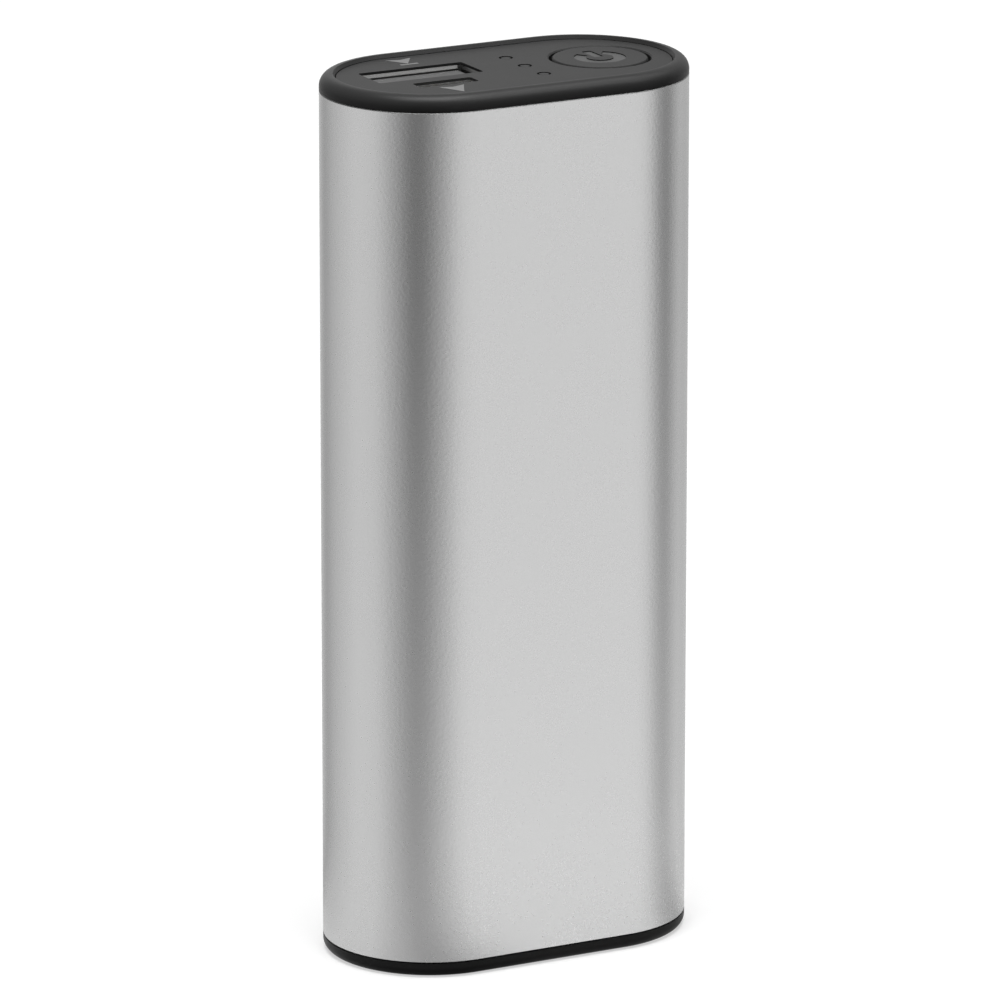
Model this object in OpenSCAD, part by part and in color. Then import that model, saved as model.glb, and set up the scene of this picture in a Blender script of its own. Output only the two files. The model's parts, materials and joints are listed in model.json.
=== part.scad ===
// Rechargeable hand warmer: an extruded aluminium tube of flat-sided oval section, closed by a
// moulded cap at each end. It stands on its bottom cap, centred on the origin, with the two
// ports towards -X, the button towards +X and the front face towards -Y.

/* [Cells] */
// Diameter of each battery cell
cell_d = 18.2; // [16:0.1:20]
// Length of each battery cell
cell_h = 65; // [55:0.5:75]
// Thickness of the shrink sleeve round a cell
wrap_t = 0.1; // [0.06:0.01:0.3]
// Free space between the two sleeved cells
cell_gap = 0.36; // [0.2:0.02:2]
// Radius of the raised positive cap of a cell
pole_r = 3.2; // [2:0.1:4.5]
// Thickness of the nickel strips that join the cells
tab_t = 0.15; // [0.1:0.01:0.4]
// Width of the nickel strips
tab_w = 6; // [4:0.5:9]
// Thickness of the foam cushion under the cells
cushion_t = 0.9; // [0.5:0.1:2.5]

/* [Cradle] */
// Wall thickness of the two cradle halves
cradle_t = 0.8; // [0.6:0.05:1.6]
// Radial clearance between a sleeved cell and the cradle
cell_fit = 0.08; // [0.04:0.01:0.4]
// Height of each locating rib round the ends of the cradle
rib_h = 1.6; // [1:0.1:3]
// Number of locating ribs along the cradle
rib_n = 4; // [2:1:7]
// Thickness of the deck above the cells
deck_t = 1.2; // [0.8:0.1:2]
// Radius of the screw bosses
boss_r = 1.9; // [1.6:0.1:2.4]
// Length of the screw bosses
boss_h = 9; // [7:0.5:14]

/* [Heaters] */
// Width of each film heater
heater_w = 17.6; // [12:0.2:18.4]
// Height of each film heater
heater_h = 60; // [40:1:62]
// Thickness of the heater film
film_t = 0.12; // [0.08:0.01:0.3]
// Thickness of the etched heating foil
foil_t = 0.08; // [0.05:0.01:0.2]
// Width of one run of the heating foil
foil_w = 1.6; // [0.8:0.1:2.2]
// Number of foil runs across the heater, an even number
foil_n = 6; // [4:2:8]
// Thickness of the insulating pad behind each heater
pad_t = 0.4; // [0.2:0.05:1.2]
// How far the insulating pad reaches past the heater
pad_over = 0.4; // [0.2:0.1:0.8]
// Width of the heater tail that runs to the board
tail_w = 4; // [3:0.5:6]

/* [Shell] */
// Wall thickness of the aluminium tube
shell_t = 1.2; // [0.8:0.1:2.5]
// Bevel on the cut ends of the tube
shell_bevel = 0.15; // [0.05:0.05:0.4]
// Height of the electronics bay above the deck
bay_h = 27.5; // [26:0.5:36]

/* [Top cap] */
// Height of the rim above the tube
top_rise = 1.7; // [1.6:0.1:3]
// Rounding of the outer edge of the rim
rim_round = 1.4; // [0.6:0.1:1.5]
// Width of the flat land on top of the rim
rim_land = 0.4; // [0.3:0.1:1]
// Width of the bevel on the inner edge of the rim
rim_bevel = 0.25; // [0.05:0.05:0.25]
// Height of the bevel on the inner edge of the rim
rim_bevel_h = 0.4; // [0.1:0.05:0.4]
// Depth of the web's underside below the end of the tube
cap_drop = 1; // [0.8:0.1:2]
// Depth of the skirt inside the tube
cap_skirt_h = 5; // [4:0.5:6]
// Wall thickness of the skirt
skirt_t = 1.4; // [1:0.1:2]
// Radial clearance between the caps and the tube
cap_fit = 0.1; // [0.05:0.01:0.3]

/* [Control panel] */
// Thickness of the inlaid panel
panel_t = 1; // [0.6:0.1:1.4]
// Depth of the panel face below the rim
panel_drop = 0.44; // [0.2:0.02:1]
// Clearance round the panel
panel_fit = 0.1; // [0.05:0.01:0.3]
// Distance of the light row from the middle
led_x = 2.5; // [2:0.1:3]
// Spacing of the three lights
led_pitch = 4.5; // [3:0.1:5]
// Diameter of each light window
led_d = 1.1; // [0.8:0.1:1.6]
// Clearance round the light windows in the panel
led_fit = 0.25; // [0.1:0.05:0.3]

/* [Button] */
// Distance of the button from the middle
button_x = 11.9; // [11.2:0.1:12.2]
// Diameter of the button face
button_d = 10.7; // [8:0.1:11.4]
// Width of the groove round the button
button_gap = 0.35; // [0.2:0.05:0.6]
// How far the button moves when pressed
button_travel = 0.4; // [0.2:0.05:0.5]
// Bevel round the edge of the button face
button_bevel = 0.15; // [0.05:0.05:0.4]
// Width of the retaining flange past the button
flange_w = 1; // [0.8:0.1:1.2]
// Thickness of the retaining flange
flange_t = 0.9; // [0.6:0.1:1.4]
// Free space between the flange and the web above it
flange_gap = 0.15; // [0.05:0.01:0.3]
// Length of the stem that presses the switch
stem_h = 0.9; // [0.6:0.1:1.5]

/* [Ports] */
// Width of the opening of the large port
port_a_w = 12.5; // [12:0.1:13]
// Height of the opening of the large port
port_a_h = 5.12; // [4.8:0.02:5.6]
// Depth of the large port's housing
port_a_l = 14; // [11:0.5:16]
// Distance of the large port from the middle
port_a_x = 9.3; // [9:0.1:10.4]
// Width of the opening of the small port
port_b_w = 6.9; // [6.4:0.1:7.6]
// Height of the opening of the small port
port_b_h = 1.85; // [1.6:0.05:2.4]
// Depth of the small port's housing
port_b_l = 5.5; // [5:0.5:8]
// Distance of the small port from the middle
port_b_x = 9.1; // [8.5:0.1:10.5]
// Sheet thickness of the port housings
port_t = 0.3; // [0.25:0.05:0.35]
// Clearance round the port housings where they pass through the cap
port_fit = 0.12; // [0.08:0.01:0.3]
// Depth of the port mouths below the panel face
port_drop = 0.3; // [0.2:0.05:0.6]
// How far the panel's openings stand back from the port openings under them
port_sight = 0.15; // [0.05:0.05:0.25]
// Width of the flare inside the mouth of the large port
port_flare = 0.15; // [0.05:0.05:0.15]
// Depth of the large port's tongue below its mouth
tongue_drop = 0.4; // [0.3:0.1:1]

/* [Boards] */
// Distance of the main board's middle plane in front of the centre
board_y = 1.45; // [1.2:0.05:1.8]
// Thickness of the main board
board_t = 1.2; // [0.8:0.1:1.6]
// Free space between the edges of the main board and the wall round it
board_edge = 0.8; // [0.4:0.1:1.4]
// Thickness of the key board under the button
key_t = 1; // [0.8:0.1:1.2]
// Height of the switch case
switch_h = 3.3; // [2.8:0.1:4]
// Width of the switch case
switch_w = 6; // [5:0.2:7]
// How far the switch plunger stands out of its case
plunger_out = 1; // [0.8:0.1:1.5]

/* [Bottom cap] */
// Height of the bottom cap below the tube
base_rise = 1.6; // [1.2:0.1:3]
// Rounding of the lower edge
base_round = 1.05; // [0.4:0.05:1.15]
// Thickness of the cap floor inside the tube
base_floor_t = 0.8; // [0.6:0.1:2]
// Height of the skirt inside the tube
base_skirt_h = 4; // [3:0.5:5]
// Width of each snap arm
snap_w = 4; // [3:0.2:5]
// Height of each snap arm above the skirt
snap_h = 5; // [4:0.5:7]

/* [Hidden] */

$fn = 96;
// Overshoot of a cut past the face that it opens
over = 1;
// Gap between pieces that are stacked, bonded or soldered
touch = 0.05;
// Gap between moulded parts that bear on each other
seat = 0.1;
// Clearance round pins, legs and leads that pass through a piece
slip = 0.12;
// Gap between a cell and its shrink sleeve
wrap_fit = 0.02;

// Radii of the nested layers about the axis of each rounded end
sleeve_r = cell_d / 2 + wrap_fit + wrap_t;
cradle_r = sleeve_r + cell_fit;
cradle_or = cradle_r + cradle_t;
pad_y = cradle_or + touch;
foil_y = pad_y + pad_t + touch;
film_y = foil_y + foil_t;
tube_r = film_y + film_t + 2 * touch;
tube_or = tube_r + shell_t;
plug_r = tube_r - cap_fit;
skirt_r = plug_r - skirt_t;
end_x = sleeve_r + cell_gap / 2;

// Heights from the bottom up
base_in = base_rise + base_floor_t;
cushion_z = base_in + touch;
base_tab_z = cushion_z + cushion_t + touch;
cell_z = base_tab_z + tab_t + touch;
cell_top = cell_z + cell_h;
top_tab_z = cell_top + touch;
deck_gap = 0.3;
deck_z = top_tab_z + tab_t + deck_gap;
bay_z = deck_z + deck_t;
web_z = bay_z + bay_h;
tube_top = web_z + cap_drop;
rim_z = tube_top + top_rise;
face_z = rim_z - panel_drop;
ledge_z = face_z - panel_t - touch;
skirt_z = tube_top - cap_skirt_h;
base_skirt_z = base_rise + base_skirt_h;
cradle_z = base_skirt_z + seat;
cradle_top = skirt_z - seat;

// Outline of the recess and of the panel in it
recess_r = tube_or - rim_round - rim_land;
panel_r = recess_r - panel_fit;

// Positive end of a cell, heights above its base
crimp_z = cell_h - 0.9;
crimp_w = 1.8;
cap_seat_z = cell_h - 2;
cap_step_z = cell_h - 1.2;
groove_z = cell_h - 4.5;
groove_h = 1.8;
groove_t = 0.7;
ring_t = 0.25;

// Heaters
heater_z = cradle_z + 3.5;
tail_x = 5;
foil_margin = 1.2;
foil_span = heater_w - 2 * foil_margin - foil_w;
foil_pitch = foil_span / (foil_n - 1);
lead_w = 0.9;

// Boards and ports
board_front = -board_y - board_t / 2;
board_back = -board_y + board_t / 2;
bay_r = min(cradle_r, skirt_r);
board_half = end_x + sqrt(bay_r * bay_r - board_front * board_front) - board_edge;
board_z = bay_z + 1.2;
tail_z = board_z + 3;
solder = 0.15;
port_z = face_z - port_drop;
port_a_ow = port_a_w + 2 * port_t;
port_a_oh = port_a_h + 2 * port_t;
port_b_ow = port_b_w + 2 * port_t;
port_b_oh = port_b_h + 2 * port_t;
port_a_y = board_back + solder + port_a_oh / 2;
port_b_y = board_front - solder - port_b_oh / 2;
port_a_z = port_z - port_a_l;
port_b_z = port_z - port_b_l;

// Button and switch, from the top down
button_r = button_d / 2;
bore_r = button_r + button_gap;
flange_r = button_r + flange_w;
flange_z = web_z - flange_gap - flange_t;
stem_z = flange_z - stem_h;
stem_r = 1.6;
plunger_z = stem_z - touch;
switch_z = plunger_z - plunger_out;
key_z = switch_z - switch_h;
key_under = key_z - key_t;
key_x = led_x - 3.9;
key_r = cradle_r - 0.5;
cover_t = 0.25;
cover_h = 1.8;
dome_h = 0.6;
dome_t = 0.12;
dome_r = 2.3;
dome_z = key_z + 1.1;
cavity_r = dome_r + 0.2;
plunger_r = 1.7;

// Screws
screw_y = cradle_r - boss_r + 0.5;
screw_r = 0.9;
screw_l = 9;
head_r = 1.7;
head_h = 0.7;
post_x = 4.6;
post_y = cradle_r - 1.9;
post_r = 1.5;
key_screw_r = 0.7;
key_screw_l = 5;
key_head_r = 1.3;

// Wall of the hollow button
cap_wall = 1.2;

// Small parts on the boards
led_h = 0.6;
pin_w = 0.4;
header_n = 4;
header_pitch = 1.27;
header_s = 2.5;
header_x = (led_x + button_x) / 2 - 0.85;
header_y = board_back + touch + header_s / 2;
header_z = key_under - 4 * seat - header_s / 2 - 0.3;
coil_x = 8.6;
coil_z = board_z + 8.5;
coil_w = 8;
coil_h = 4.2;
can_d = 6.3;
can_h = 6;
can_z = 6;
can_x = [-12.6, -4.6];
// Chips on the front of the main board: X, Z above its lower edge, width, height, thickness
chips = [[9, 11, 5, 5, 0.9], [-9, 7, 5, 4, 1.5], [-1.5, 7, 5, 4, 1.5], [2, 15, 3, 3, 0.8]];
rail_x = board_half - 1.4;

// Contacts and tongues of the ports
tongue_w = 11.1;
tongue_t = 1.84;
tongue_y = port_a_h / 2 - 0.72 - tongue_t;
strip_x = [-3.5, -1, 1, 3.5];
strip_w = 1;
strip_t = 0.2;
strip_back = 0.6;
flare_h = 0.35;
leaf_w = 2.4;
leaf_l = 5;
leaf_slot = 0.3;
port_b_tongue_y = 0;
port_b_leg_w = 1.2;
port_b_leg_z = 0.6;

// Strips and leads inside the cradle
riser_w = 3;
riser_y = 6.9;
top_riser_x = -5;
top_riser_y = board_front - 0.15 - tab_t;
spine_y = cradle_r - 1.2;
cutout_w = 3;
cutout_h = 9;
cutout_t = 2;
cutout_y = spine_y - touch - cutout_t / 2;
cutout_z = cell_z + 36;
cutout_lead = 0.2;
cutout_lead_w = 0.8;
cutout_lead_x = 1;

// How far the strips and leads run up the main board
top_lap = 2.5;
base_lap = 1.5;
lead_lap = 1;

// Snap arms of the bottom cap
arm_t = 1;
arm_y = cradle_r - seat;
snap_top = base_skirt_z + snap_h;
barb_h = 2;
barb_z = snap_top - barb_h - 1;
barb_out = 0.6;

// Parting plane of the cradle, which is the middle plane of the main board
part_y = -board_y;
part_gap = 0.05;

// Two circles and the block between them
module oval2d(r) {
    for (s = [-1, 1])
        translate([s * end_x, 0])
            circle(r);
    square([2 * end_x, 2 * r], center = true);
}

// Straight prism of the body's oval section
module oval(r, z0, z1) {
    translate([0, 0, z0])
        linear_extrude(z1 - z0)
            oval2d(r);
}

// Oval wall between two radii
module oval_ring(r_in, r_out, z0, z1) {
    difference() {
        oval(r_out, z0, z1);
        oval(r_in, z0 - over, z1 + over);
    }
}

// Oval solid whose half section, radius along X and height along Y, is the child
module oval_form() {
    for (s = [-1, 1])
        translate([s * end_x, 0, 0])
            rotate_extrude()
                children();
    translate([-end_x, 0, 0])
        rotate([90, 0, 90])
            linear_extrude(2 * end_x) {
                children();
                mirror([1, 0])
                    children();
            }
}

// Half section of a slab with its upper outer edge rounded
module round_edge2d(r, h, edge) {
    square([r - edge, h]);
    square([r, h - edge]);
    translate([r - edge, h - edge])
        intersection() {
            circle(edge);
            square(edge);
        }
}

// Rectangle with rounded corners
module plate2d(w, h, r) {
    square([w - 2 * r, h], center = true);
    square([w, h - 2 * r], center = true);
    for (sx = [-1, 1], sy = [-1, 1])
        translate([sx * (w / 2 - r), sy * (h / 2 - r)])
            circle(r);
}

// Block given by its lowest and highest corner
module block(a, b) {
    translate(a)
        cube(b - a);
}

// Upright rod between two heights
module rod(x, y, r, z0, z1) {
    translate([x, y, z0])
        cylinder(r = r, h = z1 - z0);
}

module shell() {
    color("silver")
        difference() {
            oval_form()
                polygon([
                    [0, base_rise + touch],
                    [tube_or - shell_bevel, base_rise + touch],
                    [tube_or, base_rise + touch + shell_bevel],
                    [tube_or, tube_top - touch - shell_bevel],
                    [tube_or - shell_bevel, tube_top - touch],
                    [0, tube_top - touch]
                ]);
            oval(tube_r, base_rise, tube_top);
        }
}

// Moulded cap with a rounded rim, a recess for the panel and a skirt inside the tube
module top_cap() {
    color([0.09, 0.09, 0.09])
        difference() {
            union() {
                translate([0, 0, tube_top])
                    oval_form()
                        round_edge2d(tube_or, top_rise, rim_round);
                oval(plug_r, web_z, tube_top);
                oval_ring(skirt_r, plug_r, skirt_z, web_z);
                for (s = [-1, 1]) {
                    rod(0, s * screw_y, boss_r, skirt_z, web_z);
                    rod(post_x, s * post_y, post_r, key_z + touch, web_z);
                }
            }
            oval_form()
                polygon([
                    [0, ledge_z],
                    [recess_r, ledge_z],
                    [recess_r, rim_z - rim_bevel_h],
                    [recess_r + rim_bevel, rim_z],
                    [recess_r + rim_bevel, rim_z + over],
                    [0, rim_z + over]
                ]);
            port_cut(port_a_y, -port_a_x, port_a_ow, port_a_oh, web_z - over, ledge_z + over);
            port_cut(port_b_y, -port_b_x, port_b_ow, port_b_oh, web_z - over, ledge_z + over);
            rod(button_x, 0, bore_r, web_z - over, ledge_z + over);
            light_holes(seat, web_z - over, ledge_z + over);
            for (s = [-1, 1]) {
                rod(0, s * screw_y, head_r + slip, ledge_z - head_h - touch, ledge_z + over);
                rod(0, s * screw_y, screw_r + touch, skirt_z - over, ledge_z);
                rod(post_x, s * post_y, key_screw_r + touch, key_z - over, key_under + key_screw_l + touch);
            }
        }
}

// Cut for a port housing
module port_cut(y, x, w, h, z0, z1) {
    translate([x, y, z0])
        linear_extrude(z1 - z0)
            plate2d(w + 2 * port_fit, h + 2 * port_fit, port_t + port_fit);
}

// Opening of the panel in front of a port, which hides the edge of its housing
module port_sight_cut(y, x, w, h) {
    translate([x, y, port_z])
        linear_extrude(port_drop + over)
            plate2d(w + 2 * port_sight, h + 2 * port_sight, port_t);
}

// Holes for the three light rods
module light_holes(fit, z0, z1) {
    for (i = [-1, 0, 1])
        rod(led_x, i * led_pitch, led_d / 2 + fit, z0, z1);
}

// Dark inlaid face that carries the port, light and button openings
module control_panel() {
    color([0.33, 0.33, 0.33])
        difference() {
            oval(panel_r, ledge_z + touch, face_z);
            port_cut(port_a_y, -port_a_x, port_a_ow, port_a_oh, ledge_z - over, port_z + touch);
            port_cut(port_b_y, -port_b_x, port_b_ow, port_b_oh, ledge_z - over, port_z + touch);
            port_sight_cut(port_a_y, -port_a_x, port_a_w, port_a_h);
            port_sight_cut(port_b_y, -port_b_x, port_b_w, port_b_h);
            rod(button_x, 0, bore_r, ledge_z - over, face_z + over);
            light_holes(led_fit, ledge_z - over, face_z + over);
            translate([button_x, 0, face_z - button_bevel])
                cylinder(r1 = bore_r, r2 = bore_r + button_bevel + seat, h = button_bevel + seat);
        }
}

// Hollow round button with a retaining flange and a stem
module power_button() {
    color([0.34, 0.34, 0.34])
        translate([button_x, 0, 0]) {
            difference() {
                rotate_extrude()
                    polygon([
                        [0, flange_z],
                        [flange_r, flange_z],
                        [flange_r, flange_z + flange_t],
                        [button_r, flange_z + flange_t],
                        [button_r, face_z - button_bevel],
                        [button_r - button_bevel, face_z],
                        [0, face_z]
                    ]);
                translate([0, 0, flange_z - over])
                    cylinder(r = button_r - cap_wall, h = face_z - cap_wall - flange_z + over);
            }
            rod(0, 0, stem_r, stem_z, face_z - cap_wall / 2);
        }
}

// Three clear rods on one bar under the web
module light_guide() {
    bar_h = 0.8;
    bar_w = 2.4;
    lens_r = 0.95;
    bar_z = web_z - touch - bar_h;
    color([0.85, 0.87, 0.9])
        union() {
            translate([led_x, 0, bar_z])
                linear_extrude(bar_h)
                    plate2d(bar_w, 2 * led_pitch + bar_w, bar_w / 2 - touch);
            for (i = [-1, 0, 1]) {
                rod(led_x, i * led_pitch, led_d / 2, bar_z, face_z - touch);
                rod(led_x, i * led_pitch, lens_r, key_z + led_h + 4 * touch, bar_z + touch);
            }
        }
}

// Three light chips on the key board
module status_leds() {
    color([0.95, 0.9, 0.75])
        for (i = [-1, 0, 1])
            translate([led_x, i * led_pitch, key_z + touch + led_h / 2])
                cube([0.8, 1.6, led_h], center = true);
}

// Board under the button, notched round the screw bosses
module key_board() {
    color([0.1, 0.35, 0.2])
        difference() {
            intersection() {
                oval(key_r, key_under, key_z);
                block([key_x, -key_r, key_under], [end_x + key_r, key_r, key_z]);
            }
            for (s = [-1, 1]) {
                rod(0, s * screw_y, boss_r + 3 * seat, key_under - over, key_z + over);
                rod(post_x, s * post_y, key_screw_r + slip, key_under - over, key_z + over);
            }
            header_pins(slip);
        }
}

// Screws that hold the key board under the cap
module key_screws() {
    color([0.7, 0.7, 0.72])
        for (s = [-1, 1])
            translate([post_x, s * post_y, key_under - touch])
                screw(key_head_r, key_screw_r, key_screw_l);
}

// Pan head screw with a cross recess, head down and shank up
module screw(head, shank, length) {
    difference() {
        union() {
            translate([0, 0, -head_h])
                cylinder(r = head, h = head_h);
            translate([0, 0, -touch])
                cylinder(r = shank, h = length + touch);
        }
        for (a = [0, 90])
            rotate([0, 0, a])
                translate([0, 0, -head_h])
                    cube([1.3 * head, 0.3, head_h], center = true);
    }
}

// Square pins that join the key board to the main board, widened by a clearance for their holes
module header_pins(fit) {
    for (i = [0:header_n - 1]) {
        x = header_x + (i - (header_n - 1) / 2) * header_pitch;
        block([x - pin_w / 2 - fit, header_y - pin_w / 2 - fit, header_z],
              [x + pin_w / 2 + fit, header_y + pin_w / 2 + fit, key_z + 0.8]);
        block([x - pin_w / 2 - fit, board_front - 0.5, header_z - pin_w / 2 - fit],
              [x + pin_w / 2 + fit, header_y, header_z + pin_w / 2 + fit]);
    }
}

// Angled pin header with its plastic body on the main board
module link_header() {
    half = header_n * header_pitch / 2;
    color([0.12, 0.12, 0.12]) {
        header_pins(0);
        block([header_x - half, board_back + touch, header_z - header_s / 2],
              [header_x + half, board_back + touch + header_s, header_z + header_s / 2]);
    }
}

// Base of the push switch, open on top
module switch_case() {
    color([0.15, 0.15, 0.15])
        translate([button_x, 0, 0])
            difference() {
                translate([-switch_w / 2, -switch_w / 2, key_z + touch])
                    cube([switch_w, switch_w, switch_h - cover_t - 2 * touch]);
                rod(0, 0, cavity_r, dome_z - touch, switch_z);
            }
}

// Bent sheet cover of the switch
module switch_cover() {
    half = switch_w / 2;
    color([0.75, 0.75, 0.76])
        translate([button_x, 0, 0])
            difference() {
                block([-half, -half - touch - cover_t, switch_z - cover_h],
                      [half, half + touch + cover_t, switch_z]);
                block([-half - over, -half - touch, switch_z - cover_h - over],
                      [half + over, half + touch, switch_z - cover_t]);
                rod(0, 0, plunger_r + seat, switch_z - 2 * cover_t, switch_z + over);
            }
}

// Thin domed disc that snaps through under the plunger
module switch_dome() {
    color([0.8, 0.78, 0.7])
        translate([button_x, 0, dome_z])
            rotate_extrude()
                difference() {
                    dome2d(dome_h, dome_r);
                    translate([0, -dome_t])
                        dome2d(dome_h, dome_r);
                }
}

// Half of a circular segment of a given height and half width
module dome2d(h, r) {
    ball = (r * r + h * h) / (2 * h);
    intersection() {
        translate([0, h - ball])
            circle(ball, $fn = 256);
        square([r, h]);
    }
}

// Plunger that the button stem presses
module switch_plunger() {
    color([0.12, 0.12, 0.12])
        translate([button_x, 0, 0]) {
            rod(0, 0, plunger_r, dome_z + dome_h + touch, plunger_z);
            rod(0, 0, cavity_r - seat, switch_z - cover_t - 4 * seat - 0.6, switch_z - cover_t - 4 * seat);
        }
}

// Upright board between the two ports, lower under the key board
module main_board() {
    color([0.1, 0.35, 0.2])
        difference() {
            union() {
                block([-board_half, board_front, board_z], [board_half, board_back, key_under - 4 * seat]);
                block([-board_half, board_front, board_z], [key_x - 6 * seat, board_back, web_z - board_t]);
            }
            port_a_legs(slip);
            port_b_legs(slip);
            header_pins(slip);
        }
}

// Legs of the large port's housing that pass through the board
module port_a_legs(fit) {
    for (s = [-1, 1], z = [port_a_z + 2, port_a_z + port_a_l - 5.5])
        translate([-port_a_x + s * (port_a_ow - port_t) / 2, 0, z])
            block([-port_t / 2 - fit, board_front - 0.6, -fit],
                  [port_t / 2 + fit, port_a_y - port_a_oh / 4, 1.5 + fit]);
}

// Legs of the small port's housing, which end inside the board
module port_b_legs(fit) {
    for (s = [-1, 1])
        translate([-port_b_x + s * (port_b_ow - port_t) / 2, 0, port_b_z + port_b_leg_z])
            block([-port_t / 2 - fit, port_b_y, -fit],
                  [port_t / 2 + fit, board_back - touch + fit, port_b_leg_w + fit]);
}

// Flare inside the mouth of the large port: a sloping tab on each of its four sides
module mouth_flare() {
    long = [port_a_w, port_a_h];
    short = [port_a_h, port_a_w];
    for (side = [[0, long], [90, short], [180, long], [270, short]])
        rotate([0, 0, side[0]])
            translate([port_t - side[1][0] / 2, side[1][1] / 2, port_a_l])
                rotate([90, 0, 90])
                    linear_extrude(side[1][0] - 2 * port_t)
                        polygon([
                            [-port_t, -flare_h],
                            [0, -flare_h],
                            [port_flare, 0],
                            [port_flare, over],
                            [-port_t, over]
                        ]);
}

// Sheet housing of the large port with a flared mouth and spring leaves in its wide walls
module usb_a_shell() {
    color([0.75, 0.75, 0.76])
        union() {
            difference() {
                translate([-port_a_x, port_a_y, port_a_z])
                    linear_extrude(port_a_l)
                        difference() {
                            plate2d(port_a_ow, port_a_oh, 2 * port_t);
                            plate2d(port_a_w, port_a_h, port_t);
                        }
                translate([-port_a_x, port_a_y, port_a_z])
                    mouth_flare();
                for (s = [-1, 1])
                    translate([-port_a_x + s * port_a_w / 4, port_a_y, port_a_z + port_a_l / 2])
                        leaf_slots();
            }
            port_a_legs(0);
        }
}

// Slots on three sides of a spring leaf, through both wide walls
module leaf_slots() {
    for (x = [-leaf_w / 2, leaf_w / 2])
        translate([x, 0, 0])
            cube([leaf_slot, port_a_oh + over, leaf_l], center = true);
    translate([0, 0, -leaf_l / 2])
        cube([leaf_w + leaf_slot, port_a_oh + over, leaf_slot], center = true);
}

// Insulator of the large port: a block at the back and a tongue towards the mouth
module usb_a_tongue() {
    color([0.08, 0.08, 0.09])
        translate([-port_a_x, port_a_y, port_a_z])
            difference() {
                union() {
                    translate([0, 0, 0.5])
                        linear_extrude(4)
                            plate2d(port_a_w - 2 * touch, port_a_h - 2 * touch, port_t);
                    block([-tongue_w / 2, tongue_y, 4],
                          [tongue_w / 2, tongue_y + tongue_t, port_a_l - tongue_drop]);
                }
                port_a_strips(touch);
            }
}

// Four contact strips of the large port with their tails to the board
module port_a_strips(fit) {
    for (x = strip_x)
        block([x - strip_w / 2 - fit, tongue_y - strip_t - touch - fit, -0.5 - fit],
              [x + strip_w / 2 + fit, tongue_y - touch + fit, port_a_l - tongue_drop - strip_back + fit]);
}

// Contacts of the large port
module usb_a_contacts() {
    color([0.85, 0.68, 0.3])
        translate([-port_a_x, port_a_y, port_a_z]) {
            port_a_strips(0);
            for (x = strip_x)
                block([x - 0.4, board_back + touch - port_a_y, -0.5], [x + 0.4, tongue_y - touch, -0.3]);
        }
}

// Section of the small port: a flat oblong with two bevelled corners away from the board
module port_b2d(w, h) {
    cut = h / 3;
    polygon([
        [-w / 2, h / 2],
        [w / 2, h / 2],
        [w / 2, cut - h / 2],
        [w / 2 - cut, -h / 2],
        [cut - w / 2, -h / 2],
        [-w / 2, cut - h / 2]
    ]);
}

// Sheet housing of the small port with its two legs
module micro_usb_shell() {
    color([0.75, 0.75, 0.76])
        union() {
            translate([-port_b_x, port_b_y, port_b_z])
                linear_extrude(port_b_l)
                    difference() {
                        port_b2d(port_b_ow, port_b_oh);
                        port_b2d(port_b_w, port_b_h);
                    }
            port_b_legs(0);
        }
}

// Insulator of the small port
module micro_usb_tongue() {
    color([0.08, 0.08, 0.09])
        translate([-port_b_x, port_b_y, port_b_z])
            difference() {
                union() {
                    translate([0, 0, 0.3])
                        linear_extrude(1.5)
                            port_b2d(port_b_w - 2 * touch, port_b_h - 2 * touch);
                    block([-1.9, port_b_tongue_y, 0.5], [1.9, port_b_tongue_y + 0.6, port_b_l - 0.8]);
                }
                port_b_strips(touch);
            }
}

// Five contact strips of the small port
module port_b_strips(fit) {
    for (i = [-2:2])
        block([i * 0.65 - 0.15 - fit, port_b_tongue_y - touch - 0.12 - fit, -0.4 - fit],
              [i * 0.65 + 0.15 + fit, port_b_tongue_y - touch + fit, port_b_l - 1.2 + fit]);
}

// Contacts of the small port
module micro_usb_contacts() {
    color([0.85, 0.68, 0.3])
        translate([-port_b_x, port_b_y, port_b_z]) {
            port_b_strips(0);
            for (i = [-2:2])
                block([i * 0.65 - 0.15, port_b_tongue_y - touch - 0.12, -0.4],
                      [i * 0.65 + 0.15, board_front - touch - port_b_y, -0.28]);
        }
}

// Shielded coil of the power converter
module power_coil() {
    color([0.2, 0.2, 0.21])
        translate([coil_x, board_back + touch, coil_z])
            rotate([-90, 0, 0])
                union() {
                    linear_extrude(coil_h - 0.8)
                        difference() {
                            square(coil_w, center = true);
                            for (a = [45:90:315])
                                rotate(a)
                                    translate([coil_w * 0.6, -coil_w / 2])
                                        square(coil_w);
                        }
                    cylinder(r = coil_w / 2 - 0.9, h = coil_h);
                }
}

// Two electrolytic capacitors on their square bases
module capacitors() {
    color([0.72, 0.73, 0.75])
        for (x = can_x)
            translate([x, board_back + touch, board_z + can_z])
                rotate([-90, 0, 0]) {
                    linear_extrude(0.9)
                        square(can_d + 0.3, center = true);
                    rotate_extrude()
                        polygon([
                            [0, 0.9],
                            [can_d / 2 - 0.4, 0.9],
                            [can_d / 2 - 0.4, 1.5],
                            [can_d / 2, 1.9],
                            [can_d / 2, can_h - 0.3],
                            [can_d / 2 - 0.3, can_h],
                            [0, can_h]
                        ]);
                }
}

// Controller and power transistors on the front of the main board
module board_chips() {
    color([0.13, 0.13, 0.14])
        for (c = chips)
            block([c[0] - c[2] / 2, board_front - touch - c[4], board_z + c[1] - c[3] / 2],
                  [c[0] + c[2] / 2, board_front - touch, board_z + c[1] + c[3] / 2]);
}

// Screws that draw the cap down onto the cradle
module cap_screws() {
    color([0.7, 0.7, 0.72])
        for (s = [-1, 1])
            translate([0, s * screw_y, ledge_z - head_h])
                mirror([0, 0, 1])
                    screw(head_r, screw_r, screw_l);
}

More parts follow.
